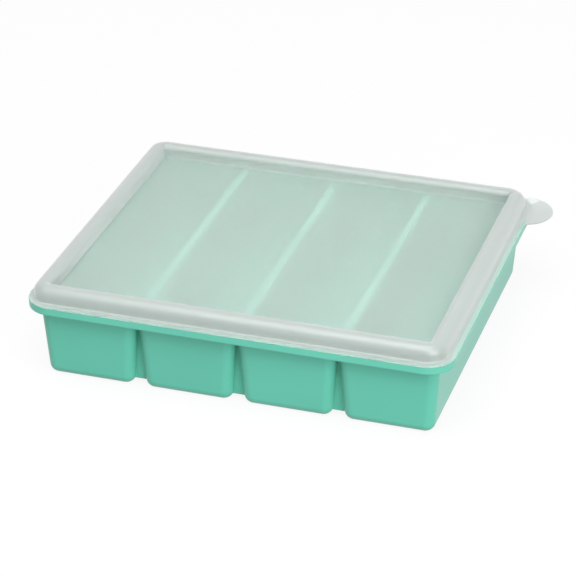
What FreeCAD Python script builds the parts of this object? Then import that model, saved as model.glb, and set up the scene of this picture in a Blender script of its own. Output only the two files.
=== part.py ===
import FreeCAD
import Part
import math
import os
import re
import Sketcher

# A soft freezer tray with four long pockets, the wire loop moulded into its rim, and its lid.
# Lengths are in millimetres. +Z is up and z = 0 is the plane that the pockets stand on.
# The bodies are drawn about the middle of the tray; their Placement then moves them so that
# the origin is under the middle of the whole object, pull tab included.

DOCUMENT = FreeCAD.newDocument("freezer_tray")

# The least radius of a corner that is drawn in from another, and the slack in comparing positions.
LEAST_CORNER = 0.3
SLACK = 0.001

# Driving sizes: a word for the alias, the size, and what it measures.
SIZES = (
    ("rim_length", 203.5, "rim and lid flange, left to right"),
    ("rim_width", 178.8, "rim and lid flange, front to back"),
    ("rim_corner", 12.8, "corner radius of the rim's outline"),
    ("rim_height", 39.3, "rim's top face above the shelf"),
    ("rim_thick", 3.7, "rim's thickness"),
    ("rim_round", 0.9, "rounding under the rim's outer edge"),
    ("pocket_count", 4, "compartments side by side"),
    ("pocket_inset", 6.25, "rim's edge to a pocket's outer face, just under the rim"),
    ("pocket_gap", 1.1, "between two pockets, just under the rim"),
    ("pocket_corner", 4.8, "outer radius of a pocket's upright corners"),
    ("foot_round", 4.6, "outer radius along a pocket's foot"),
    ("draft_angle", 3.8, "lean of the pocket walls, in degrees"),
    ("wall_thick", 1.8, "pocket walls"),
    ("floor_thick", 2.0, "pocket floors"),
    ("divider_drop", 1.0, "dividers' tops below the rim's top face"),
    ("mouth_bevel", 0.5, "bevel along the dividers and round each pocket's mouth"),
    ("web_inset", 13.0, "rim's edge to the outer face of a web between two pockets"),
    ("web_thick", 1.8, "webs between the pockets"),
    ("web_clear", 2.5, "webs' lower edges above the shelf"),
    ("lip_height", 4.6, "raised lip above the rim's top face"),
    ("lip_thick", 1.5, "raised lip"),
    ("lip_bevel", 0.6, "bevel of the lip's top edges"),
    ("wire_size", 2.0, "diameter of the rim wire"),
    ("wire_inset", 2.9, "rim's edge to the middle of the wire"),
    ("wire_clear", 0.1, "between the wire and the moulding round it"),
    ("lid_thick", 0.8, "lid's wall, the same all over"),
    ("lid_clear", 0.3, "between the tray's lip and the inside of the lid's bead"),
    ("bead_inset", 3.8, "flange's edge to the bead's foot, but for the left side"),
    ("bead_shift", 0.75, "rim's middle to the middle of the bead and the lip, to the left"),
    ("bead_height", 7.1, "bead above the flange"),
    ("bead_width", 8.4, "bead across its foot"),
    ("bead_shoulder", 2.8, "radius of the bead's outer top edge"),
    ("bead_crest", 3.2, "radius of the bead's inner top edge"),
    ("bead_foot", 0.4, "bevel in the creases at the bead's feet"),
    ("panel_rise", 0.5, "panel above the flange"),
    ("panel_corner", 0.8, "radius of the panel's corners"),
    ("edge_bevel", 0.25, "bevel of the lid's outer edges"),
    ("tab_radius", 14.5, "radius of the pull tab's end"),
    ("tab_reach", 10.8, "pull tab beyond the flange"),
    ("tab_inset", 15.6, "flange's back edge to the middle of the tab"),
    ("tab_blend", 2.5, "fillets where the tab leaves the flange"),
)

# Sizes that follow from the driving ones.
DERIVED = (
    ("rim_underside", "rim_height - rim_thick", "rim's underside above the shelf"),
    ("lean", "tan(draft_angle * 1 deg)", "how far a wall leans for each unit of height"),
    ("pocket_long", "rim_width - 2 * pocket_inset", "pocket, front to back, under the rim"),
    ("pocket_wide", "(rim_length - 2 * pocket_inset + pocket_gap) / pocket_count - pocket_gap",
     "pocket, left to right, under the rim"),
    ("pitch", "pocket_wide + pocket_gap", "from one pocket to the next"),
    ("foot_reach", "min(foot_round; 0.95 * pocket_corner)", "foot radius that the corners leave room for"),
    ("wall_level", "wall_thick / cos(draft_angle * 1 deg)", "pocket wall, measured level"),
    ("divider_top", "rim_height - divider_drop", "dividers' tops above the shelf"),
    ("floor_inset", "wall_level + (rim_underside - floor_thick) * lean",
     "pocket's outer face under the rim to the edge of its floor"),
    ("floor_long", "pocket_long - 2 * floor_inset", "a pocket's floor, front to back"),
    ("floor_wide", "pocket_wide - 2 * floor_inset", "a pocket's floor, left to right"),
    ("cavity_deep", "rim_height - floor_thick", "a pocket's floor below the rim's top face"),
    ("cavity_corner", "max(pocket_corner - wall_thick; 0.3)", "inner radius of the upright corners"),
    ("cavity_foot", "min(max(foot_round - wall_thick; 0.3); 0.95 * cavity_corner)",
     "inner radius round a pocket's floor"),
    ("web_wide_high", "pocket_gap + wall_thick", "web, left to right, just under the rim"),
    ("web_wide_low", "pocket_gap + wall_thick + 2 * ( rim_underside - web_clear ) * lean",
     "web, left to right, along its lower edge"),
    ("web_place", "rim_width / 2 - web_inset - web_thick / 2", "middle of the tray to a web"),
    ("lip_inset", "bead_inset + lid_thick + lid_clear", "rim's edge to the lip's outer face"),
    ("lip_top", "rim_height + lip_height", "lip's top above the shelf"),
    ("basin_inset", "lip_inset + lip_thick", "rim's edge to the lip's inner face"),
    ("basin_deep", "lip_height + divider_drop", "lip's top down to the dividers' tops"),
    ("wire_level", "rim_height - rim_thick / 2", "middle of the wire above the shelf"),
    ("wire_corner", "rim_corner - wire_inset", "bend radius of the wire"),
    ("wire_start", "rim_length / 2 - rim_corner", "middle of the tray to the wire's first bend"),
    ("wire_side", "rim_width / 2 - wire_inset", "middle of the tray to the wire's front run"),
    ("hollow_inset", "bead_inset + lid_thick", "flange's edge to the inside of the bead"),
    ("well_inset", "bead_inset + bead_width", "flange's edge to the foot of the bead's inner wall"),
    ("well_deep", "bead_height - panel_rise", "bead's top down to the panel"),
    ("panel_underside", "rim_height + panel_rise", "panel's underside above the shelf"),
    ("lid_top", "rim_height + lid_thick + bead_height", "bead's top above the shelf"),
    ("tab_x", "rim_length / 2 + tab_reach - tab_radius", "middle of the tray to the tab's centre"),
    ("tab_y", "rim_width / 2 - tab_inset", "middle of the tray to the tab's centre"),
)


def make_sheet():
    """Fills the sheet with the driving sizes and the sizes that follow from them."""
    sheet = DOCUMENT.addObject("Spreadsheet::Sheet", "Sizes")
    rows = [(alias, str(value), note) for alias, value, note in SIZES]
    rows += [(alias, "=" + formula, note) for alias, formula, note in DERIVED]
    for row, (alias, content, note) in enumerate(rows, start=1):
        sheet.set("A%d" % row, note)
        sheet.set("B%d" % row, content)
        sheet.setAlias("B%d" % row, alias)
    DOCUMENT.recompute()
    return sheet


SHEET = make_sheet()


def size(formula):
    """Gives a formula the sheet's name before each alias, as expressions need it."""
    aliases = {row[0] for row in SIZES + DERIVED}

    def qualified(word):
        return "Sizes." + word.group() if word.group() in aliases else word.group()

    return re.sub("[a-z_]+", qualified, formula)


def number(formula):
    """The present value of a formula, for a sketch's first drawing."""
    value = SHEET.evalExpression(size(formula))
    return float(getattr(value, "Value", value))


def origin_plane(body, role):
    """The body's own origin plane with this role."""
    return next(item for item in body.Origin.OriginFeatures if item.Role == role)


def new_body(label):
    """A body whose origin lies under the middle of the whole object."""
    body = DOCUMENT.addObject("PartDesign::Body", label)
    body.Label = label
    body.setExpression("Placement.Base.x", size("-tab_reach / 2"))
    return body


def new_sketch(body, name, offset, role="XY_Plane"):
    """A sketch on one of the body's origin planes, moved by three formulas."""
    sketch = body.newObject("Sketcher::SketchObject", name)
    sketch.AttachmentSupport = [(origin_plane(body, role), "")]
    sketch.MapMode = "FlatFace"
    for axis, formula in zip("xyz", offset):
        sketch.setExpression("AttachmentOffset.Base." + axis, size(formula))
    return sketch


def bind(sketch, name, formula, *constraint):
    """Adds a sized constraint and binds it to a formula."""
    index = sketch.addConstraint(Sketcher.Constraint(*constraint, number(formula)))
    sketch.renameConstraint(index, name)
    sketch.setExpression("Constraints." + name, size(formula))


def rectangle(sketch, length, width, corner=None):
    """Draws a rectangle about the sketch's origin, with rounded corners if corner is given."""
    half_x = number(length) / 2
    half_y = number(width) / 2
    radius = number(corner) if corner else 0.0
    inner_x = half_x - radius
    inner_y = half_y - radius
    runs = (
        ((-inner_x, -half_y), (inner_x, -half_y)),
        ((half_x, -inner_y), (half_x, inner_y)),
        ((inner_x, half_y), (-inner_x, half_y)),
        ((-half_x, inner_y), (-half_x, -inner_y)),
    )
    for start, end in runs:
        sketch.addGeometry(Part.LineSegment(FreeCAD.Vector(*start, 0), FreeCAD.Vector(*end, 0)))
    for line, direction in enumerate(("Horizontal", "Vertical", "Horizontal", "Vertical")):
        sketch.addConstraint(Sketcher.Constraint(direction, line))
    if corner:
        centres = ((inner_x, -inner_y), (inner_x, inner_y), (-inner_x, inner_y), (-inner_x, -inner_y))
        for turn, centre in enumerate(centres):
            round_edge = Part.Circle(FreeCAD.Vector(*centre, 0), FreeCAD.Vector(0, 0, 1), radius)
            first = (turn - 1) * math.pi / 2
            arc = sketch.addGeometry(Part.ArcOfCircle(round_edge, first, first + math.pi / 2))
            sketch.addConstraint(Sketcher.Constraint("Tangent", turn, 2, arc, 1))
            sketch.addConstraint(Sketcher.Constraint("Tangent", arc, 2, (turn + 1) % 4, 1))
            if turn:
                sketch.addConstraint(Sketcher.Constraint("Equal", arc - 1, arc))
        bind(sketch, "corner", corner, "Radius", len(runs))
    else:
        for line in range(4):
            sketch.addConstraint(Sketcher.Constraint("Coincident", line, 2, (line + 1) % 4, 1))
    sketch.addConstraint(Sketcher.Constraint("Symmetric", 0, 1, 2, 1, -1, 1))
    bind(sketch, "length", length, "DistanceX", 3, 1, 1, 1)
    bind(sketch, "width", width, "DistanceY", 0, 1, 2, 1)


def trapezoid(sketch, low_width, high_width, low, high):
    """Draws a trapezoid with level sides, symmetrical about the sketch's upright axis."""
    half_low = number(low_width) / 2
    half_high = number(high_width) / 2
    bottom = number(low)
    top = number(high)
    points = ((-half_low, bottom), (half_low, bottom), (half_high, top), (-half_high, top))
    for index, start in enumerate(points):
        end = points[(index + 1) % 4]
        sketch.addGeometry(Part.LineSegment(FreeCAD.Vector(*start, 0), FreeCAD.Vector(*end, 0)))
    for line in range(4):
        sketch.addConstraint(Sketcher.Constraint("Coincident", line, 2, (line + 1) % 4, 1))
    for line in (0, 2):
        sketch.addConstraint(Sketcher.Constraint("Symmetric", line, 1, line, 2, -2))
    bind(sketch, "low_width", low_width, "DistanceX", 0, 1, 0, 2)
    bind(sketch, "high_width", high_width, "DistanceX", 2, 2, 2, 1)
    bind(sketch, "low", low, "DistanceY", -1, 1, 0, 1)
    bind(sketch, "high", high, "DistanceY", -1, 1, 2, 1)


def circle(sketch, radius):
    """Draws a circle about the sketch's origin."""
    round_edge = Part.Circle(FreeCAD.Vector(), FreeCAD.Vector(0, 0, 1), number(radius))
    sketch.addGeometry(round_edge)
    sketch.addConstraint(Sketcher.Constraint("Coincident", 0, 3, -1, 1))
    bind(sketch, "radius", radius, "Radius", 0)


def outline(body, name, level, inset, corner=None):
    """A sketch of the rim's outline at a level, or one drawn in by an inset and shifted as the bead is."""
    shift = "0" if inset == "0" else "bead_shift"
    sketch = new_sketch(body, name, ("-" + shift, "0", level))
    radius = corner or "max(rim_corner - (%s); %s)" % (inset, LEAST_CORNER)
    length = "rim_length - 2 * (%s) + 2 * %s" % (inset, shift)
    rectangle(sketch, length, "rim_width - 2 * (%s)" % inset, radius)
    return sketch


def extrude(body, kind, name, sketch, depth, reverse=False, sides="One side"):
    """A Pad or Pocket of a sketch, checked to add or take away material."""
    before = body.Shape.Volume if body.Tip and not body.Shape.isNull() else 0.0
    feature = body.newObject("PartDesign::" + kind, name)
    feature.Profile = sketch
    feature.setExpression("Length", size(depth))
    feature.Reversed = reverse
    feature.SideType = sides
    DOCUMENT.recompute()
    if not feature.isValid():
        raise RuntimeError(name + " fails")
    change = feature.Shape.Volume - before
    if (change > 0) != (kind == "Pad"):
        raise RuntimeError("%s changes the volume by %.1f mm3" % (name, change))
    return feature


def repeat(body, feature, count, spacing):
    """Repeats a feature along X, count times, a spacing apart."""
    before = feature.Shape.Volume
    pattern = body.newObject("PartDesign::LinearPattern", feature.Name + "_row")
    pattern.Originals = [feature]
    pattern.Direction = (feature.Profile[0], ["H_Axis"])
    pattern.setExpression("Length", size("(%s - 1) * %s" % (count, spacing)))
    pattern.setExpression("Occurrences", size(count))
    body.Tip = pattern
    DOCUMENT.recompute()
    if abs(pattern.Shape.Volume - before) < 1.0:
        raise RuntimeError(pattern.Name + " repeats nothing")
    return pattern


def draft(body, name, level, chosen, inwards):
    """Leans upright faces by the draft angle about a level, checked to take away material."""
    plane = body.newObject("PartDesign::Plane", name + "_level")
    plane.AttachmentSupport = [(origin_plane(body, "XY_Plane"), "")]
    plane.MapMode = "FlatFace"
    plane.setExpression("AttachmentOffset.Base.z", size(level))
    base = body.Tip
    faces = ["Face%d" % index for index, face in enumerate(base.Shape.Faces, start=1) if chosen(face)]
    feature = body.newObject("PartDesign::Draft", name)
    feature.Base = (base, faces)
    feature.NeutralPlane = (plane, [""])
    feature.Reversed = inwards
    feature.setExpression("Angle", size("draft_angle"))
    DOCUMENT.recompute()
    if not feature.isValid() or feature.Shape.Volume > base.Shape.Volume:
        raise RuntimeError("%s fails on %s" % (name, faces))
    return feature


def soften(body, name, radius, chosen, kind="Fillet"):
    """Rounds the edges that a test chooses, or bevels them with the kind "Chamfer"."""
    base = body.Tip
    edges = ["Edge%d" % index for index, edge in enumerate(base.Shape.Edges, start=1) if chosen(edge)]
    if not edges:
        raise RuntimeError(name + " finds no edge")
    feature = body.newObject("PartDesign::" + kind, name)
    feature.Base = (base, edges)
    feature.setExpression("Radius" if kind == "Fillet" else "Size", size(radius))
    DOCUMENT.recompute()
    if not feature.isValid() or not feature.Shape.isValid():
        raise RuntimeError("%s fails on %s" % (name, edges))
    return feature


def at_level(edge, formula):
    """True where a whole edge lies at a level above the shelf."""
    return spans(edge, formula, formula)


def inside(edge, inset, shift="bead_shift"):
    """True where an edge lies within the rim's outline drawn in by an inset and shifted."""
    half_x = number("rim_length / 2 - (%s) + %s" % (inset, shift)) + SLACK
    half_y = number("rim_width / 2 - (%s)" % inset) + SLACK
    box = edge.BoundBox
    from_middle = max(-box.XMin - number(shift), box.XMax + number(shift))
    return from_middle < half_x and max(-box.YMin, box.YMax) < half_y


def spans(item, low, high):
    """True where an edge or face reaches exactly from one level up to another."""
    box = item.BoundBox
    return abs(box.ZMin - number(low)) < SLACK and abs(box.ZMax - number(high)) < SLACK


def wire_loop(body, kind, name, radius):
    """A round bar that follows the rim, added to a body or taken out of it."""
    path = new_sketch(body, name + "_path", ("0", "0", "wire_level"))
    rectangle(path, "rim_length - 2 * wire_inset", "rim_width - 2 * wire_inset", "wire_corner")
    section = new_sketch(body, name + "_section", ("-wire_side", "wire_level", "-wire_start"), "YZ_Plane")
    circle(section, radius)
    DOCUMENT.recompute()
    pipe = body.newObject("PartDesign::%sPipe" % kind, name)
    pipe.Profile = section
    pipe.Spine = (path, ["Edge%d" % (index + 1) for index in range(len(path.Shape.Edges))])
    DOCUMENT.recompute()
    return pipe


def make_tray():
    """The tray: rim, lip, pockets, webs and dividers in one moulding."""
    body = new_body("tray")
    first_pocket = "-pitch * (pocket_count - 1) / 2"
    first_gap = "-pitch * (pocket_count - 2) / 2"

    extrude(body, "Pad", "rim", outline(body, "rim_outline", "rim_underside", "0"), "rim_thick")
    pocket = new_sketch(body, "pocket_outline", (first_pocket, "0", "rim_underside"))
    rectangle(pocket, "pocket_wide", "pocket_long")
    pocket_pad = extrude(body, "Pad", "pocket", pocket, "rim_underside", reverse=True)
    repeat(body, pocket_pad, "pocket_count", "pitch")
    draft(body, "pocket_draft", "rim_underside", lambda face: spans(face, "0", "rim_underside"), True)

    floor = new_sketch(body, "floor_outline", (first_pocket, "0", "rim_height"))
    rectangle(floor, "floor_wide", "floor_long")
    cavity = extrude(body, "Pocket", "cavity", floor, "cavity_deep")
    repeat(body, cavity, "pocket_count", "pitch")
    draft(body, "cavity_draft", "floor_thick", lambda face: spans(face, "floor_thick", "rim_height"), False)

    soften(body, "cavity_corners", "cavity_corner", lambda edge: spans(edge, "floor_thick", "rim_height"))
    soften(body, "cavity_feet", "cavity_foot", lambda edge: at_level(edge, "floor_thick"))

    extrude(body, "Pad", "lip", outline(body, "lip_outline", "rim_height", "lip_inset"), "lip_height")
    extrude(body, "Pocket", "basin", outline(body, "basin_outline", "lip_top", "basin_inset"), "basin_deep")
    soften(body, "lip_edges", "lip_bevel", lambda edge: at_level(edge, "lip_top"), "Chamfer")
    soften(body, "mouths", "mouth_bevel",
           lambda edge: at_level(edge, "divider_top") and inside(edge, "basin_inset + mouth_bevel"),
           "Chamfer")
    soften(body, "pocket_corners", "pocket_corner", lambda edge: spans(edge, "0", "rim_underside"))
    soften(body, "pocket_feet", "foot_reach", lambda edge: at_level(edge, "0"))
    soften(body, "rim_edge", "rim_round",
           lambda edge: at_level(edge, "rim_underside") and not inside(edge, "rim_round", "0"))

    for end, place in (("front", "web_place"), ("back", "-web_place")):
        web = new_sketch(body, end + "_web_outline", (first_gap, "0", place), "XZ_Plane")
        trapezoid(web, "web_wide_low", "web_wide_high", "web_clear", "rim_underside")
        web_pad = extrude(body, "Pad", end + "_web", web, "web_thick", sides="Symmetric")
        repeat(body, web_pad, "(pocket_count - 1)", "pitch")

    wire_loop(body, "Subtractive", "wire_channel", "wire_size / 2 + wire_clear")
    return body


def make_wire():
    """The steel loop inside the rim."""
    body = new_body("rim_wire")
    wire_loop(body, "Additive", "loop", "wire_size / 2")
    return body


def make_lid():
    """The lid: flange, hollow bead, panel and pull tab in one thin moulding."""
    body = new_body("lid")
    extrude(body, "Pad", "flange", outline(body, "flange_outline", "rim_height", "0"), "lid_thick")

    tab = new_sketch(body, "tab_outline", ("tab_x", "tab_y", "rim_height"))
    circle(tab, "tab_radius")
    extrude(body, "Pad", "tab", tab, "lid_thick")
    soften(body, "tab_blends", "tab_blend", is_tab_root)

    extrude(body, "Pad", "bead", outline(body, "bead_outline", "rim_height", "bead_inset"),
            "lid_thick + bead_height")
    extrude(body, "Pocket", "bead_hollow", outline(body, "hollow_outline", "rim_height", "hollow_inset"),
            "bead_height", True)
    soften(body, "hollow_outer_edge", "bead_shoulder - lid_thick",
           lambda edge: at_level(edge, "lid_top - lid_thick"))
    soften(body, "bead_outer_edge", "bead_shoulder", lambda edge: at_level(edge, "lid_top"))

    well = outline(body, "well_outline", "panel_underside",
                   "well_inset - lid_thick", "panel_corner + lid_thick")
    extrude(body, "Pad", "well", well, "well_deep + lid_thick")
    soften(body, "hollow_inner_edge", "bead_crest - lid_thick",
           lambda edge: at_level(edge, "lid_top - lid_thick") and inside(edge, "well_inset - lid_thick"))
    panel = outline(body, "panel_outline", "lid_top", "well_inset", "panel_corner")
    extrude(body, "Pocket", "panel_recess", panel, "well_deep")
    soften(body, "bead_inner_edge", "bead_crest",
           lambda edge: at_level(edge, "lid_top") and inside(edge, "well_inset"))
    soften(body, "bead_feet", "bead_foot", is_bead_foot, "Chamfer")
    soften(body, "flange_edge", "edge_bevel", is_flange_edge, "Chamfer")
    return body


def is_tab_root(edge):
    """True for the two upright edges where the tab's round end meets the flange."""
    place = edge.BoundBox.Center
    from_centre = math.hypot(place.x - number("tab_x"), place.y - number("tab_y"))
    on_circle = abs(from_centre - number("tab_radius")) < SLACK
    at_tip = place.x > number("rim_length / 2 + tab_reach") - SLACK
    return spans(edge, "rim_height", "rim_height + lid_thick") and on_circle and not at_tip


def is_bead_foot(edge):
    """True for the creases between the bead and the flange and between the bead and the panel."""
    outer = at_level(edge, "rim_height + lid_thick") and inside(edge, "bead_inset")
    inner = at_level(edge, "lid_top - well_deep") and inside(edge, "well_inset")
    return outer or inner


def is_flange_edge(edge):
    """True for the outer edges of the flange and the tab, top and bottom."""
    level = at_level(edge, "rim_height + lid_thick") or at_level(edge, "rim_height")
    return level and not inside(edge, "bead_inset - bead_foot")


def check(bodies):
    """Stops if a feature failed or a body isn't one valid solid."""
    for item in DOCUMENT.Objects:
        if "Invalid" in item.State or "Error" in item.State:
            raise RuntimeError("%s failed: %s" % (item.Label, item.State))
    for body in bodies:
        shape = body.Shape
        if shape.isNull() or not shape.isValid() or len(shape.Solids) != 1:
            raise RuntimeError("%s isn't one valid solid" % body.Label)


def main():
    """Builds the pieces, checks them and writes one file for each."""
    bodies = [make_tray(), make_wire(), make_lid()]
    DOCUMENT.recompute()
    check(bodies)
    os.makedirs("parts", exist_ok=True)
    for body in bodies:
        body.Shape.exportStep("parts/%s.step" % body.Label)
        box = body.Shape.BoundBox
        print("%s: %.2f cm3, %.1f by %.1f by %.1f mm" % (
            body.Label, body.Shape.Volume / 1000, box.XLength, box.YLength, box.ZLength))


main()
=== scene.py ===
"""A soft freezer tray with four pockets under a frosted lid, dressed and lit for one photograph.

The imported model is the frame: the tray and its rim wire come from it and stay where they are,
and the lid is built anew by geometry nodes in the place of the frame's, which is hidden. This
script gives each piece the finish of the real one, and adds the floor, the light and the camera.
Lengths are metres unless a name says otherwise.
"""

import logging
import math
from dataclasses import dataclass
from enum import Enum
from typing import Any

import bpy
from mathutils import Matrix, Vector

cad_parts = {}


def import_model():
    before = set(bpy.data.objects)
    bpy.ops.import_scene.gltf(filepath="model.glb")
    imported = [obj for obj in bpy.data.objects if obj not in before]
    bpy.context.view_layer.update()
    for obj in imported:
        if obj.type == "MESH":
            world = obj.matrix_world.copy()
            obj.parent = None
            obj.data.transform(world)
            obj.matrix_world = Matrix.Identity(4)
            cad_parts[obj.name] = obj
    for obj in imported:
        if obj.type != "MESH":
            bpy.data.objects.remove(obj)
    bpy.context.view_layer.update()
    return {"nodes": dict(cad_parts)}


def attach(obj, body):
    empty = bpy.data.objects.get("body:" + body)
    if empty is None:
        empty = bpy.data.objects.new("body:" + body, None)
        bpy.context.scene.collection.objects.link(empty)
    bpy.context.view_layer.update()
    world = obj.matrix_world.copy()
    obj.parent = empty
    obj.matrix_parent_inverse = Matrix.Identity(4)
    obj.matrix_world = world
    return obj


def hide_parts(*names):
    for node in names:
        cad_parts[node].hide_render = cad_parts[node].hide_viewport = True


LOG = logging.getLogger("freezer_tray")
MM = 0.001
WHITE = (1.0, 1.0, 1.0, 1.0)
NOISE_LOW = 0.3  # nearly all of a noise texture's values lie between these two
NOISE_HIGH = 0.7


class Slot(Enum):
    """The record's material slots."""

    SILICONE = "silicone"
    STEEL = "steel"
    FROSTED = "frosted_plastic"


class PictureRay(Enum):
    """The rays that meet the white surround itself: straight, mirrored or through the lid."""

    STRAIGHT = "Is Camera Ray"
    MIRRORED = "Is Glossy Ray"
    THROUGH = "Is Transmission Ray"


def linear(hex_colour: str) -> tuple[float, float, float, float]:
    """Turns an sRGB hex colour into the linear values that shaders use.

    Args:
        hex_colour: six hex digits, such as "6AC3AD".

    Returns:
        Linear red, green and blue, and an alpha of 1.
    """
    values = []
    for start in (0, 2, 4):
        channel = int(hex_colour[start:start + 2], 16) / 255
        values.append(channel / 12.92 if channel <= 0.04045 else ((channel + 0.055) / 1.055) ** 2.4)
    return (values[0], values[1], values[2], 1.0)


def add_node(tree: bpy.types.NodeTree, kind: str, settings: dict[str, Any] | None = None,
             **links: Any) -> bpy.types.Node:
    """Adds a node with its settings and what goes into its sockets.

    Args:
        tree: the node tree that the node joins.
        kind: the node's Blender type name.
        settings: values of the node's own properties, or how many entries a list of it has.
        **links: a socket's name in lower case, with underscores for spaces, and either the output
            socket that feeds it or its value.

    Returns:
        The new node.
    """
    node = tree.nodes.new(kind)
    for name, value in (settings or {}).items():
        entries = getattr(node, name)
        if hasattr(entries, "new"):
            while len(entries) < value:
                entries.new()
        else:
            setattr(node, name, value)
    for name, value in links.items():
        sockets = [s for s in node.inputs if s.name.lower().replace(" ", "_") == name and s.enabled]
        if isinstance(value, bpy.types.NodeSocket):
            tree.links.new(value, sockets[0])
        elif isinstance(value, list):
            for socket, item in zip(sockets, value):
                if isinstance(item, bpy.types.NodeSocket):
                    tree.links.new(item, socket)
                else:
                    socket.default_value = item
        else:
            sockets[0].default_value = value
    return node


def new_material(name: str) -> tuple[bpy.types.Material, bpy.types.NodeTree, bpy.types.NodeSocket]:
    """Makes an empty node material.

    Args:
        name: what the real material is called.

    Returns:
        The material, its tree and the output's surface socket.
    """
    material = bpy.data.materials.new(name)
    material.use_nodes = True
    tree = material.node_tree
    tree.nodes.clear()
    output = tree.nodes.new("ShaderNodeOutputMaterial")
    return material, tree, output.inputs["Surface"]


@dataclass(frozen=True)
class MouldedSilicone:
    """Platinum silicone, compression moulded: an even mint body under a soft satin skin.

    The polished mould leaves it smooth, and its fine bloom gives grazing faces a pale sheen. The
    grain is drawn coarser than the real one, which is too fine to show. Flow marks are the faint
    clouds that the filling of the mould leaves in tone and gloss.
    """

    colour: str = "66C8B0"
    roughness: float = 0.32
    roughness_spread: float = 0.03
    refraction: float = 1.41
    sheen: float = 0.15
    sheen_roughness: float = 0.4
    grain: float = 0.6 * MM
    grain_depth: float = 0.05 * MM
    grain_strength: float = 0.06
    flow_marks: float = 45 * MM
    flow_dark: float = 0.97
    flow_light: float = 1.02

    def material(self) -> bpy.types.Material:
        """Builds the material.

        Returns:
            The silicone's material.
        """
        material, tree, surface = new_material("moulded_silicone")
        place = add_node(tree, "ShaderNodeTexCoord").outputs["Object"]
        flow = add_node(tree, "ShaderNodeTexNoise", vector=place, scale=1 / self.flow_marks, detail=3.0)
        tone = add_node(tree, "ShaderNodeMapRange", value=flow.outputs["Fac"], from_min=NOISE_LOW,
                        from_max=NOISE_HIGH, to_min=self.flow_dark, to_max=self.flow_light)
        colour = add_node(tree, "ShaderNodeHueSaturation", value=tone.outputs["Result"],
                          color=linear(self.colour))
        rough = add_node(tree, "ShaderNodeMapRange", value=flow.outputs["Fac"], from_min=NOISE_LOW,
                         from_max=NOISE_HIGH, to_min=self.roughness - self.roughness_spread,
                         to_max=self.roughness + self.roughness_spread)
        grain = add_node(tree, "ShaderNodeTexNoise", vector=place, scale=1 / self.grain, detail=2.0)
        bump = add_node(tree, "ShaderNodeBump", height=grain.outputs["Fac"],
                        strength=self.grain_strength, distance=self.grain_depth)
        shader = add_node(tree, "ShaderNodeBsdfPrincipled", base_color=colour.outputs["Color"],
                          roughness=rough.outputs["Result"], ior=self.refraction,
                          sheen_weight=self.sheen, sheen_roughness=self.sheen_roughness,
                          normal=bump.outputs["Normal"])
        tree.links.new(shader.outputs["BSDF"], surface)
        return material


@dataclass(frozen=True)
class FrostedPlastic:
    """Low-density polyethylene, injection moulded in a blasted mould: milky and translucent.

    What lies close under it shows softly through it, and what lies deep becomes a plain tint. The
    bead and the tab take a copy that is milkier than the flat sheet, shines more along their tops
    and has a darker colour. On the bead's upright walls, and on the strip of flange at its foot,
    that darker colour is painted shade. Bending is the refraction, low on the flat sheet so that it
    stays clear at a low angle. The grain is drawn coarser than the real one, which is too fine to
    show.
    """

    name: str = "frosted_polyethylene"
    colour: str = "F2F6F4"
    roughness: float = 0.45
    roughness_spread: float = 0.03
    clear_share: float = 0.78
    bending: float = 1.15
    gloss: float = 0.5
    sheen: float = 0.0
    sheen_roughness: float = 0.5
    grain: float = 0.5 * MM
    grain_depth: float = 0.03 * MM
    grain_strength: float = 0.05
    clouding: float = 30 * MM

    def material(self) -> bpy.types.Material:
        """Builds the material.

        Returns:
            The lid's material.
        """
        material, tree, surface = new_material(self.name)
        place = add_node(tree, "ShaderNodeTexCoord").outputs["Object"]
        cloud = add_node(tree, "ShaderNodeTexNoise", vector=place, scale=1 / self.clouding, detail=2.0)
        rough = add_node(tree, "ShaderNodeMapRange", value=cloud.outputs["Fac"], from_min=NOISE_LOW,
                         from_max=NOISE_HIGH, to_min=self.roughness - self.roughness_spread,
                         to_max=self.roughness + self.roughness_spread)
        grain = add_node(tree, "ShaderNodeTexNoise", vector=place, scale=1 / self.grain, detail=2.0)
        bump = add_node(tree, "ShaderNodeBump", height=grain.outputs["Fac"],
                        strength=self.grain_strength, distance=self.grain_depth)
        shader = add_node(tree, "ShaderNodeBsdfPrincipled", base_color=linear(self.colour),
                          roughness=rough.outputs["Result"], ior=self.bending,
                          transmission_weight=self.clear_share, specular_ior_level=self.gloss,
                          sheen_weight=self.sheen, sheen_roughness=self.sheen_roughness,
                          normal=bump.outputs["Normal"])
        tree.links.new(shader.outputs["BSDF"], surface)
        return material


@dataclass(frozen=True)
class DrawnSteel:
    """Stainless spring wire, drawn through a die, which leaves a fine grain and a soft shine."""

    colour: str = "C9CBCD"
    roughness: float = 0.32
    roughness_spread: float = 0.08
    grain: float = 0.15 * MM

    def material(self) -> bpy.types.Material:
        """Builds the material.

        Returns:
            The wire's material.
        """
        material, tree, surface = new_material("drawn_stainless_steel")
        place = add_node(tree, "ShaderNodeTexCoord").outputs["Object"]
        grain = add_node(tree, "ShaderNodeTexNoise", vector=place, scale=1 / self.grain, detail=2.0)
        rough = add_node(tree, "ShaderNodeMapRange", value=grain.outputs["Fac"],
                         to_min=self.roughness - self.roughness_spread,
                         to_max=self.roughness + self.roughness_spread)
        shader = add_node(tree, "ShaderNodeBsdfPrincipled", base_color=linear(self.colour), metallic=1.0,
                          roughness=rough.outputs["Result"])
        tree.links.new(shader.outputs["BSDF"], surface)
        return material


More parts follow.
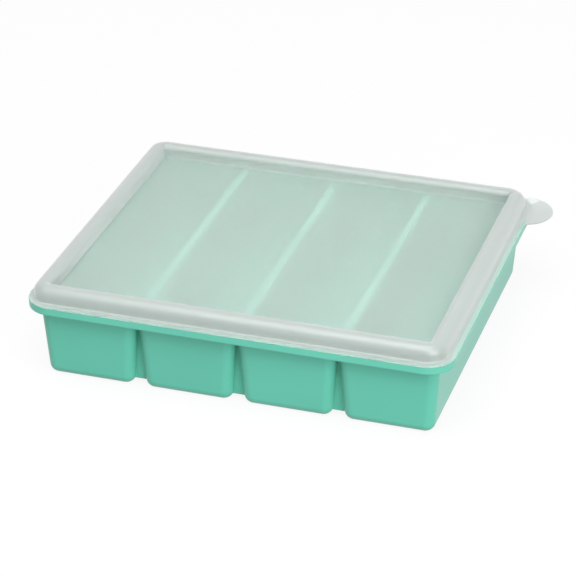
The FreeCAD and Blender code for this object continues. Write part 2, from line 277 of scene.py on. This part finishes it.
def new_shape_tree(name: str, sizes: list[str], materials: list[str]) -> bpy.types.NodeTree:
    """Makes an empty geometry node tree with a named input for each size and material.

    Args:
        name: what the tree makes.
        sizes: the names of its sizes.
        materials: the names of its materials.

    Returns:
        The tree, with a shape as its other input.
    """
    tree = bpy.data.node_groups.new(name, "GeometryNodeTree")
    tree.is_modifier = True
    tree.interface.new_socket("Geometry", in_out="INPUT", socket_type="NodeSocketGeometry")
    for size in sizes:
        tree.interface.new_socket(size, in_out="INPUT", socket_type="NodeSocketFloat")
    for material in materials:
        tree.interface.new_socket(material, in_out="INPUT", socket_type="NodeSocketMaterial")
    tree.interface.new_socket("Geometry", in_out="OUTPUT", socket_type="NodeSocketGeometry")
    return tree


def bake_nodes(name: str, tree: bpy.types.NodeTree, values: dict[str, Any]) -> bpy.types.Object:
    """Runs a geometry node tree once and keeps its result as a plain mesh.

    Args:
        name: the piece's name.
        tree: the tree.
        values: a size in metres or a material for each of its named inputs.

    Returns:
        The piece, at the origin.
    """
    piece = bpy.data.objects.new(name, bpy.data.meshes.new(name + "_start"))
    bpy.context.scene.collection.objects.link(piece)
    modifier = piece.modifiers.new("shape", "NODES")
    modifier.node_group = tree
    for item in tree.interface.items_tree:
        if item.item_type == "SOCKET" and item.in_out == "INPUT":
            if item.name in values:
                modifier[item.identifier] = values[item.name]
    depsgraph = bpy.context.evaluated_depsgraph_get()
    mesh = bpy.data.meshes.new_from_object(piece.evaluated_get(depsgraph), depsgraph=depsgraph)
    piece.modifiers.remove(modifier)
    mesh.name = name
    piece.data = mesh
    return piece


def dress(node: bpy.types.Object, material: bpy.types.Material, slot: Slot) -> None:
    """Gives a piece from the frame one material all over.

    Args:
        node: the piece.
        material: its material.
        slot: the record's slot for the piece, which the frame has set already.
    """
    node.data.materials.clear()
    node.data.materials.append(material)
    LOG.info("%s is dressed in %s, for the slot %s", node.name, material.name, slot.value)


@dataclass
class Tray:
    """The soft moulding and the wire that is moulded into its rim."""

    nodes: dict[str, bpy.types.Object]
    silicone: MouldedSilicone = MouldedSilicone()
    steel: DrawnSteel = DrawnSteel()

    def build(self) -> None:
        """Dresses the tray and its wire."""
        dress(self.nodes["tray"], self.silicone.material(), Slot.SILICONE)
        dress(self.nodes["rim_wire"], self.steel.material(), Slot.STEEL)


@dataclass
class Lid:
    """The frosted cover: flange, hollow bead, panel and pull tab in one thin moulding.

    Its section is one line from the panel's middle out over the bead, round the flange's edge and
    back under it. Geometry nodes carry that line round the rim. An inset is measured inwards from
    the rim. The sheet's finish covers the panel and the flange's edge. The bead's milkier and
    darker finish covers the tab too, and starts on the flange at the bead shade inset, short of the
    bead's foot: its darker colour is painted shade on the bead's walls and on that strip of
    flange, where the bead's shade falls. Near the tab the outline has more points, as far from
    its centre as tab_spread says, in tab radii.
    """

    rim_length: float = 203.5 * MM
    rim_width: float = 178.8 * MM
    rim_corner: float = 12.8 * MM
    centre_x: float = -5.4 * MM
    seat_level: float = 39.35 * MM
    flange_top: float = 40.1 * MM
    panel_top: float = 40.6 * MM
    bead_top: float = 47.2 * MM
    thickness: float = 0.8 * MM
    bead_inset: float = 3.8 * MM
    bead_shift: float = 0.75 * MM
    bead_width: float = 8.4 * MM
    shoulder: float = 5.0 * MM
    crest: float = 3.2 * MM
    foot: float = 0.4 * MM
    edge: float = 0.25 * MM
    panel_corner: float = 0.8 * MM
    tab_radius: float = 14.5 * MM
    tab_x: float = 98.05 * MM
    tab_y: float = 73.8 * MM
    tab_blend: float = 2.6 * MM
    tab_step: float = 0.5 * MM
    tab_root: float = 2.6 * MM
    tab_spread: float = 1.5
    # painted shade: the bead's darker finish starts this far in, on the strip of flange where the bead's
    # shade falls
    milky_inset: float = 2.5 * MM
    weld: float = 0.001 * MM
    corner_steps: int = 12
    section_steps: int = 7
    sheet: FrostedPlastic = FrostedPlastic()
    # the bead's copy is milkier and glossier, and its darker colour is painted shade on its upright
    # walls
    bead: FrostedPlastic = FrostedPlastic(
        name="frosted_polyethylene_bead", colour="D0D9D5", roughness=0.34, clear_share=0.52,
        bending=1.5, gloss=1.0, sheen=1.0)

    def build(self) -> None:
        """Makes the lid, dresses it and puts it in the place of the plain one."""
        sizes = {
            "Half Length": self.rim_length / 2,
            "Half Width": self.rim_width / 2,
            "Rim Corner": self.rim_corner,
            "Panel Corner": self.panel_corner,
            "Centre X": self.centre_x,
            "Edge": self.edge,
            "Bead Inset": self.bead_inset,
            "Bead Shift": self.bead_shift,
            "Hollow Inset": self.bead_inset + self.thickness,
            "Wall Inset": self.bead_inset + self.bead_width - self.thickness,
            "Well Inset": self.bead_inset + self.bead_width,
            "Seat Level": self.seat_level,
            "Flange Top": self.flange_top,
            "Panel Underside": self.panel_top - self.thickness,
            "Panel Top": self.panel_top,
            "Bead Underside": self.bead_top - self.thickness,
            "Bead Top": self.bead_top,
            "Shoulder": self.shoulder,
            "Crest": self.crest,
            "Foot": self.foot,
            "Thickness": self.thickness,
            "Tab X": self.tab_x,
            "Tab Y": self.tab_y,
            "Tab Radius": self.tab_radius,
            "Tab Blend": self.tab_blend,
            "Tab Step": self.tab_step,
            "Tab Root": self.tab_root,
            "Milky Inset": self.milky_inset,
        }
        materials = {"Sheet Material": self.sheet.material(), "Bead Material With Painted Shade": self.bead.material()}
        tree = self.shell_tree(list(sizes), list(materials))
        lid = bake_nodes("frosted_lid", tree, sizes | materials)
        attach(lid, "lid")
        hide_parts("lid")
        LOG.info("%s has %d faces", lid.name, len(lid.data.polygons))

    def shell_tree(self, names: list[str], materials: list[str]) -> bpy.types.NodeTree:
        """Writes the node tree that makes the shell.

        Args:
            names: the names of the tree's size inputs.
            materials: the names of its material inputs.

        Returns:
            The node tree.
        """
        tree = new_shape_tree("lid_shell", names, materials)
        given = add_node(tree, "NodeGroupInput").outputs
        rim, pushed = self.add_outlines(tree, given)
        section = self.add_section(tree, given)

        columns = add_node(tree, "GeometryNodeAttributeDomainSize", {"component": "CURVE"},
                           geometry=rim).outputs["Point Count"]
        rows = add_node(tree, "GeometryNodeAttributeDomainSize", {"component": "CURVE"},
                        geometry=section).outputs["Point Count"]
        around = add_node(tree, "FunctionNodeIntegerMath", {"operation": "ADD"}, value=[columns, 1])
        grid = add_node(tree, "GeometryNodeMeshGrid", vertices_x=rows, vertices_y=around.outputs[0])
        index = add_node(tree, "GeometryNodeInputIndex").outputs[0]
        row = add_node(tree, "FunctionNodeIntegerMath", {"operation": "DIVIDE_FLOOR"},
                       value=[index, around.outputs[0]])
        turn = add_node(tree, "FunctionNodeIntegerMath", {"operation": "MODULO"},
                        value=[index, around.outputs[0]])
        column = add_node(tree, "FunctionNodeIntegerMath", {"operation": "MODULO"},
                          value=[turn.outputs[0], columns])

        here = add_node(tree, "GeometryNodeInputPosition").outputs[0]
        along = add_node(tree, "GeometryNodeInputTangent").outputs[0]
        vector = {"data_type": "FLOAT_VECTOR", "domain": "POINT"}
        rim_point = add_node(tree, "GeometryNodeSampleIndex", vector, geometry=rim, value=here,
                             index=column.outputs[0]).outputs[0]
        edge_point = add_node(tree, "GeometryNodeSampleIndex", vector, geometry=pushed, value=here,
                              index=column.outputs[0]).outputs[0]
        tangent = add_node(tree, "GeometryNodeSampleIndex", vector, geometry=pushed, value=along,
                           index=column.outputs[0]).outputs[0]
        height = add_node(tree, "GeometryNodeSampleIndex", vector, geometry=section, value=here,
                          index=row.outputs[0]).outputs[0]
        place = add_node(tree, "ShaderNodeSeparateXYZ", vector=height)
        inset = place.outputs["X"]

        inner = self.add_inner_point(tree, given, rim_point, inset)
        outward = add_node(tree, "ShaderNodeVectorMath", {"operation": "CROSS_PRODUCT"},
                           vector=[tangent, (0, 0, 1)])
        drawn_in = add_node(tree, "ShaderNodeMath", {"operation": "MINIMUM"},
                            value=[inset, given["Edge"]])
        step_in = add_node(tree, "ShaderNodeVectorMath", {"operation": "SCALE"},
                           vector=outward.outputs[0], scale=drawn_in.outputs[0])
        outer = add_node(tree, "ShaderNodeVectorMath", {"operation": "SUBTRACT"},
                         vector=[edge_point, step_in.outputs[0]])
        foot_start = add_node(tree, "ShaderNodeMath", {"operation": "SUBTRACT"},
                              value=[given["Bead Inset"], given["Foot"]])
        share = add_node(tree, "ShaderNodeMapRange", value=inset, from_min=given["Edge"],
                         from_max=foot_start.outputs[0], to_min=0.0, to_max=1.0)
        flat = add_node(tree, "ShaderNodeMix", {"data_type": "VECTOR"}, factor=share.outputs[0],
                        a=outer.outputs[0], b=inner)
        parts = add_node(tree, "ShaderNodeSeparateXYZ", vector=flat.outputs["Result"])
        shifted = add_node(tree, "ShaderNodeMath", {"operation": "ADD"},
                           value=[parts.outputs["X"], given["Centre X"]])
        final = add_node(tree, "ShaderNodeCombineXYZ", x=shifted.outputs[0], y=parts.outputs["Y"],
                         z=place.outputs["Y"])
        # the bead's darker finish, painted shade on its walls and on the flange strip at its foot, runs
        # from the bead shade inset to the well; the tab takes it too
        past_start = add_node(tree, "ShaderNodeMath", {"operation": "GREATER_THAN"},
                              value=[inset, given["Milky Inset"]])
        before_well = add_node(tree, "ShaderNodeMath", {"operation": "LESS_THAN"},
                               value=[inset, given["Well Inset"]])
        both = add_node(tree, "ShaderNodeMath", {"operation": "MULTIPLY"},
                        value=[past_start.outputs[0], before_well.outputs[0]])
        marked = add_node(tree, "GeometryNodeStoreNamedAttribute",
                          {"data_type": "BOOLEAN", "domain": "POINT"},
                          geometry=grid.outputs["Mesh"], name="milky", value=both.outputs[0])
        on_bead_or_its_shade = add_node(tree, "GeometryNodeInputNamedAttribute", {"data_type": "BOOLEAN"},
                           name="milky").outputs[0]
        shaped = add_node(tree, "GeometryNodeSetPosition", geometry=marked.outputs[0],
                          position=final.outputs[0])
        closed = add_node(tree, "GeometryNodeMergeByDistance", geometry=shaped.outputs[0],
                          distance=self.weld)
        rim_x = add_node(tree, "ShaderNodeMath", {"operation": "ADD"},
                         value=[given["Half Length"], given["Centre X"]])
        on_tab = add_node(tree, "ShaderNodeMath", {"operation": "GREATER_THAN"},
                          value=[add_node(tree, "ShaderNodeSeparateXYZ", vector=here).outputs["X"],
                                 rim_x.outputs[0]])
        milky = add_node(tree, "ShaderNodeMath", {"operation": "MAXIMUM"},
                         value=[on_bead_or_its_shade, on_tab.outputs[0]])
        smooth = add_node(tree, "GeometryNodeSetShadeSmooth", geometry=closed.outputs[0],
                          shade_smooth=True)
        plain = add_node(tree, "GeometryNodeRealizeInstances", geometry=smooth.outputs[0])
        clear = add_node(tree, "GeometryNodeSetMaterial", geometry=plain.outputs[0],
                         material=given["Sheet Material"])
        both_kinds = add_node(tree, "GeometryNodeSetMaterial", geometry=clear.outputs[0],
                              selection=milky.outputs[0], material=given["Bead Material With Painted Shade"])
        add_node(tree, "NodeGroupOutput", geometry=both_kinds.outputs[0])
        return tree

    def add_outlines(self, tree: bpy.types.NodeTree, given: Any
                     ) -> tuple[bpy.types.NodeSocket, bpy.types.NodeSocket]:
        """Adds the rim's outline, and the same points pushed out where the tab is.

        The outline has more points where the tab leaves it. A point that lies within the tab's
        circle moves out to it along its ray from the circle's centre, and a smooth maximum makes
        the hollow fillets on both sides.

        Args:
            tree: the node tree.
            given: the outputs of its group input.

        Returns:
            The plain outline and the outline with the tab, as curves.
        """
        minus_x = add_node(tree, "ShaderNodeMath", {"operation": "MULTIPLY"},
                           value=[given["Half Length"], -1.0]).outputs[0]
        minus_y = add_node(tree, "ShaderNodeMath", {"operation": "MULTIPLY"},
                           value=[given["Half Width"], -1.0]).outputs[0]
        reach = add_node(tree, "ShaderNodeMath", {"operation": "MULTIPLY"},
                         value=[given["Tab Radius"], self.tab_spread]).outputs[0]
        tab_start = add_node(tree, "ShaderNodeMath", {"operation": "SUBTRACT"},
                             value=[given["Tab Y"], reach]).outputs[0]
        corners = ((given["Half Length"], minus_y), (given["Half Length"], tab_start),
                   (given["Half Length"], given["Half Width"]), (minus_x, given["Half Width"]),
                   (minus_x, minus_y))
        radii = [given["Rim Corner"], 0.0] + [given["Rim Corner"]] * 3
        points = [add_node(tree, "ShaderNodeCombineXYZ", x=x, y=y).outputs[0] for x, y in corners]
        rim = self.add_rounded_line(tree, points, radii, self.corner_steps, True)

        here = add_node(tree, "GeometryNodeInputPosition").outputs[0]
        index = add_node(tree, "GeometryNodeInputIndex").outputs[0]
        following = add_node(tree, "FunctionNodeIntegerMath", {"operation": "ADD"}, value=[index, 1])
        ahead = add_node(tree, "GeometryNodeFieldAtIndex",
                         {"data_type": "FLOAT_VECTOR", "domain": "POINT"},
                         index=following.outputs[0], value=here).outputs[0]
        run = add_node(tree, "ShaderNodeVectorMath", {"operation": "DISTANCE"}, vector=[here, ahead])
        centre = add_node(tree, "ShaderNodeCombineXYZ", x=given["Tab X"], y=given["Tab Y"]).outputs[0]
        ray = add_node(tree, "ShaderNodeVectorMath", {"operation": "SUBTRACT"},
                       vector=[here, centre]).outputs[0]
        away = add_node(tree, "ShaderNodeVectorMath", {"operation": "LENGTH"},
                        vector=ray).outputs["Value"]
        middle = add_node(tree, "ShaderNodeMix", {"data_type": "VECTOR"}, factor=0.5, a=here, b=ahead)
        to_tab = add_node(tree, "ShaderNodeVectorMath", {"operation": "DISTANCE"},
                          vector=[middle.outputs["Result"], centre])
        near = add_node(tree, "ShaderNodeMath", {"operation": "LESS_THAN"},
                        value=[to_tab.outputs["Value"], reach])
        pieces = add_node(tree, "ShaderNodeMath", {"operation": "DIVIDE"},
                          value=[run.outputs["Value"], given["Tab Step"]])
        cuts = add_node(tree, "ShaderNodeMath", {"operation": "MULTIPLY"},
                        value=[pieces.outputs[0], near.outputs[0]])
        rim = add_node(tree, "GeometryNodeSubdivideCurve", curve=rim, cuts=cuts.outputs[0]).outputs[0]

        pushed_out = add_node(tree, "ShaderNodeMath", {"operation": "SMOOTH_MAX"},
                              value=[away, given["Tab Radius"], given["Tab Blend"]])
        direction = add_node(tree, "ShaderNodeVectorMath", {"operation": "NORMALIZE"}, vector=ray)
        arm = add_node(tree, "ShaderNodeVectorMath", {"operation": "SCALE"}, vector=direction.outputs[0],
                       scale=pushed_out.outputs[0])
        on_tab = add_node(tree, "ShaderNodeVectorMath", {"operation": "ADD"},
                          vector=[centre, arm.outputs[0]])
        pushed = add_node(tree, "GeometryNodeSetPosition", geometry=rim, position=on_tab.outputs[0])
        return rim, pushed.outputs[0]

    def add_section(self, tree: bpy.types.NodeTree, given: Any) -> bpy.types.NodeSocket:
        """Adds the lid's section, with the inset from the rim as X and the level as Y.

        Args:
            tree: the node tree.
            given: the outputs of its group input.

        Returns:
            The section as a curve.
        """
        inner_crest = add_node(tree, "ShaderNodeMath", {"operation": "SUBTRACT"},
                               value=[given["Crest"], given["Thickness"]]).outputs[0]
        inner_shoulder = add_node(tree, "ShaderNodeMath", {"operation": "SUBTRACT"},
                                  value=[given["Shoulder"], given["Thickness"]]).outputs[0]
        hold = add_node(tree, "ShaderNodeMath", {"operation": "ADD"},
                        value=[given["Well Inset"], given["Thickness"]]).outputs[0]
        line = (
            (given["Half Width"], given["Panel Top"], 0.0),
            (hold, given["Panel Top"], 0.0),
            (given["Well Inset"], given["Panel Top"], given["Foot"]),
            (given["Well Inset"], given["Bead Top"], given["Crest"]),
            (given["Bead Inset"], given["Bead Top"], given["Shoulder"]),
            (given["Bead Inset"], given["Flange Top"], given["Foot"]),
            (given["Tab Root"], given["Flange Top"], 0.0),
            (0.0, given["Flange Top"], given["Edge"]),
            (0.0, given["Seat Level"], given["Edge"]),
            (given["Tab Root"], given["Seat Level"], 0.0),
            (given["Hollow Inset"], given["Seat Level"], 0.0),
            (given["Hollow Inset"], given["Bead Underside"], inner_shoulder),
            (given["Wall Inset"], given["Bead Underside"], inner_crest),
            (given["Wall Inset"], given["Panel Underside"], 0.0),
            (hold, given["Panel Underside"], 0.0),
            (given["Half Width"], given["Panel Underside"], 0.0),
        )
        points = [add_node(tree, "ShaderNodeCombineXYZ", x=inset, y=level).outputs[0]
                  for inset, level, _ in line]
        radii = [radius for _, _, radius in line]
        return self.add_rounded_line(tree, points, radii, self.section_steps, False)

    def add_rounded_line(self, tree: bpy.types.NodeTree, points: list[bpy.types.NodeSocket],
                         radii: list[Any], steps: int, closed: bool) -> bpy.types.NodeSocket:
        """Adds a line through points with an arc of its own radius at each.

        Args:
            tree: the node tree.
            points: each point's place.
            radii: each point's radius, or the output socket that gives it.
            steps: how many pieces an arc has.
            closed: True if the last point joins the first.

        Returns:
            The line as a curve.
        """
        index = add_node(tree, "GeometryNodeInputIndex").outputs[0]
        place = add_node(tree, "GeometryNodeIndexSwitch",
                         {"data_type": "VECTOR", "index_switch_items": len(points)}, index=index,
                         **{str(number): point for number, point in enumerate(points)})
        rounding = add_node(tree, "GeometryNodeIndexSwitch",
                            {"data_type": "FLOAT", "index_switch_items": len(radii)}, index=index,
                            **{str(number): radius for number, radius in enumerate(radii)})
        row = add_node(tree, "GeometryNodeMeshLine", count=len(points))
        curve = add_node(tree, "GeometryNodeMeshToCurve", mesh=row.outputs[0])
        placed = add_node(tree, "GeometryNodeSetPosition", geometry=curve.outputs[0],
                          position=place.outputs[0])
        looped = add_node(tree, "GeometryNodeSetSplineCyclic", geometry=placed.outputs[0], cyclic=closed)
        return add_node(tree, "GeometryNodeFilletCurve", {"mode": "POLY"}, curve=looped.outputs[0],
                        radius=rounding.outputs[0], count=steps).outputs[0]

    def add_inner_point(self, tree: bpy.types.NodeTree, given: Any, rim_point: bpy.types.NodeSocket,
                        inset: bpy.types.NodeSocket) -> bpy.types.NodeSocket:
        """Adds the rule for a point drawn in from the rim.

        The outline keeps its straight sides parallel to the rim's, and its left one lies nearer the
        rim, as the bead's does. Its corner radius falls from the rim's to the panel's at the bead's
        inner foot, and to nothing along the middle line.

        Args:
            tree: the node tree.
            given: the outputs of its group input.
            rim_point: the point of the rim that this one belongs to.
            inset: how far it is drawn in.

        Returns:
            The point's place, level with the origin.
        """
        half = add_node(tree, "ShaderNodeCombineXYZ", x=given["Half Length"],
                        y=given["Half Width"]).outputs[0]
        corner = add_node(tree, "ShaderNodeCombineXYZ", x=given["Rim Corner"], y=given["Rim Corner"])
        core = add_node(tree, "ShaderNodeVectorMath", {"operation": "SUBTRACT"},
                        vector=[half, corner.outputs[0]]).outputs[0]
        low_core = add_node(tree, "ShaderNodeVectorMath", {"operation": "SCALE"}, vector=core,
                            scale=-1.0).outputs[0]
        capped = add_node(tree, "ShaderNodeVectorMath", {"operation": "MINIMUM"},
                          vector=[rim_point, core])
        centre = add_node(tree, "ShaderNodeVectorMath", {"operation": "MAXIMUM"},
                          vector=[capped.outputs[0], low_core]).outputs[0]
        spoke = add_node(tree, "ShaderNodeVectorMath", {"operation": "SUBTRACT"},
                         vector=[rim_point, centre])
        outward = add_node(tree, "ShaderNodeVectorMath", {"operation": "NORMALIZE"},
                           vector=spoke.outputs[0])

        falling = add_node(tree, "ShaderNodeMapRange", value=inset, from_min=0.0,
                           from_max=given["Well Inset"], to_min=given["Rim Corner"],
                           to_max=given["Panel Corner"])
        vanishing = add_node(tree, "ShaderNodeMapRange", value=inset, from_min=given["Well Inset"],
                             from_max=given["Half Width"], to_min=0.0, to_max=given["Panel Corner"])
        radius = add_node(tree, "ShaderNodeMath", {"operation": "SUBTRACT"},
                          value=[falling.outputs[0], vanishing.outputs[0]]).outputs[0]
        drawn = add_node(tree, "ShaderNodeMath", {"operation": "ADD"}, value=[inset, radius]).outputs[0]
        both = add_node(tree, "ShaderNodeCombineXYZ", x=drawn, y=drawn)
        shift = add_node(tree, "ShaderNodeCombineXYZ", x=given["Bead Shift"]).outputs[0]
        longer = add_node(tree, "ShaderNodeVectorMath", {"operation": "ADD"}, vector=[half, shift])
        here = add_node(tree, "ShaderNodeVectorMath", {"operation": "SUBTRACT"},
                        vector=[longer.outputs[0], both.outputs[0]])
        share = add_node(tree, "ShaderNodeVectorMath", {"operation": "DIVIDE"},
                         vector=[here.outputs[0], core])
        arc_centre = add_node(tree, "ShaderNodeVectorMath", {"operation": "MULTIPLY"},
                              vector=[centre, share.outputs[0]])
        arm = add_node(tree, "ShaderNodeVectorMath", {"operation": "SCALE"}, vector=outward.outputs[0],
                       scale=radius)
        point = add_node(tree, "ShaderNodeVectorMath", {"operation": "ADD"},
                         vector=[arc_centre.outputs[0], arm.outputs[0]])
        return add_node(tree, "ShaderNodeVectorMath", {"operation": "SUBTRACT"},
                        vector=[point.outputs[0], shift]).outputs[0]


@dataclass(frozen=True)
class Softbox:
    """A square softbox that faces the object. Its power is in watts."""

    name: str
    place: tuple[float, float, float]
    side: float
    power: float

    def build(self) -> None:
        """Makes the lamp and turns it to the object."""
        lamp = bpy.data.lights.new(self.name, "AREA")
        lamp.size = self.side
        lamp.energy = self.power
        holder = bpy.data.objects.new(self.name, lamp)
        holder.location = self.place
        holder.rotation_mode = "QUATERNION"
        holder.rotation_quaternion = (-Vector(self.place)).to_track_quat("-Z", "Y")
        bpy.context.scene.collection.objects.link(holder)


@dataclass(frozen=True)
class Studio:
    """The floor, the world and the lamps. They light the object at a plain level.

    The floor throws light back as mid-grey paper does, and the picture sees it as nearly white:
    floor_white is the share of it that is white in itself, and the rest keeps the shadow.
    """

    floor_size: float = 6.0
    floor_bounce: str = "A0A0A0"
    floor_shade: str = "ECECEC"
    floor_white: float = 0.9
    world_strength: float = 0.46
    lamps: tuple[Softbox, ...] = (
        Softbox("overhead_softbox", (0.0, -0.45, 1.2), 1.2, 14.2),
        Softbox("right_softbox", (0.84, -0.72, 0.43), 0.7, 7.0),
    )

    def build(self) -> None:
        """Makes the floor, the world and the lamps."""
        self.make_floor()
        self.make_world()
        for lamp in self.lamps:
            lamp.build()

    def make_floor(self) -> None:
        """Makes a pale floor that the camera sees as white, apart from the object's shadow."""
        half = self.floor_size / 2
        mesh = bpy.data.meshes.new("floor")
        mesh.from_pydata([(-half, -half, 0), (half, -half, 0), (half, half, 0), (-half, half, 0)], [],
                         [(0, 1, 2, 3)])
        floor = bpy.data.objects.new("floor", mesh)
        bpy.context.scene.collection.objects.link(floor)
        material, tree, surface = new_material("white_paper")
        bounce = add_node(tree, "ShaderNodeBsdfDiffuse", color=linear(self.floor_bounce))
        shade = add_node(tree, "ShaderNodeBsdfDiffuse", color=linear(self.floor_shade))
        glow = add_node(tree, "ShaderNodeEmission", strength=1.0)
        white = add_node(tree, "ShaderNodeMixShader", fac=self.floor_white,
                         shader=[shade.outputs[0], glow.outputs[0]])
        mix = add_node(tree, "ShaderNodeMixShader", fac=self.add_picture_switch(tree),
                       shader=[bounce.outputs[0], white.outputs[0]])
        tree.links.new(mix.outputs[0], surface)
        mesh.materials.append(material)

    def make_world(self) -> None:
        """Makes an even white surround, which the camera sees at full white."""
        world = bpy.data.worlds.new("studio")
        bpy.context.scene.world = world
        world.use_nodes = True
        tree = world.node_tree
        tree.nodes.clear()
        output = tree.nodes.new("ShaderNodeOutputWorld")
        light = add_node(tree, "ShaderNodeBackground", color=WHITE, strength=self.world_strength)
        white = add_node(tree, "ShaderNodeBackground", color=WHITE, strength=1.0)
        mix = add_node(tree, "ShaderNodeMixShader", fac=self.add_picture_switch(tree),
                       shader=[light.outputs[0], white.outputs[0]])
        tree.links.new(mix.outputs[0], output.inputs["Surface"])

    def add_picture_switch(self, tree: bpy.types.NodeTree) -> bpy.types.NodeSocket:
        """Adds a switch that is 1 for every ray that the picture sees.

        Args:
            tree: the node tree that the switch joins.

        Returns:
            The switch's output socket.
        """
        path = add_node(tree, "ShaderNodeLightPath")
        total = path.outputs[PictureRay.STRAIGHT.value]
        for ray in (PictureRay.MIRRORED, PictureRay.THROUGH):
            total = add_node(tree, "ShaderNodeMath", {"operation": "MAXIMUM"},
                             value=[total, path.outputs[ray.value]]).outputs[0]
        return total


@dataclass(frozen=True)
class PhotoCamera:
    """The camera's place, worked out from the object's outline in the photograph."""

    focal_mm: float = 160.5
    sensor_mm: float = 36.0
    azimuth: float = 17.49
    elevation: float = 28.44
    distance: float = 1.2406
    aim: tuple[float, float, float] = (-0.00615, 0.0, 0.020)
    slide_right: float = -0.18 * MM
    slide_up: float = 1.25 * MM

    def build(self) -> None:
        """Makes the camera and gives it to the scene."""
        around = math.radians(self.azimuth)
        above = math.radians(self.elevation)
        back = Vector((math.sin(around) * math.cos(above), -math.cos(around) * math.cos(above),
                       math.sin(above)))
        right = (-back).cross(Vector((0, 0, 1))).normalized()
        upward = right.cross(-back)
        data = bpy.data.cameras.new("photo_camera")
        data.lens = self.focal_mm
        data.sensor_width = self.sensor_mm
        data.clip_end = 50.0
        camera = bpy.data.objects.new("photo_camera", data)
        turn = Matrix((right, upward, back)).transposed()
        slide = right * self.slide_right + upward * self.slide_up
        place = Vector(self.aim) + back * self.distance - slide
        camera.matrix_world = Matrix.Translation(place) @ turn.to_4x4()
        bpy.context.scene.collection.objects.link(camera)
        bpy.context.scene.camera = camera


def main() -> None:
    """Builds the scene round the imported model."""
    logging.basicConfig(level=logging.INFO, format="%(name)s: %(message)s")
    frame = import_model()
    bpy.context.scene.view_settings.view_transform = "Standard"
    PhotoCamera().build()
    Tray(frame["nodes"]).build()
    Lid().build()
    Studio().build()


if __name__ == "__main__":
    main()
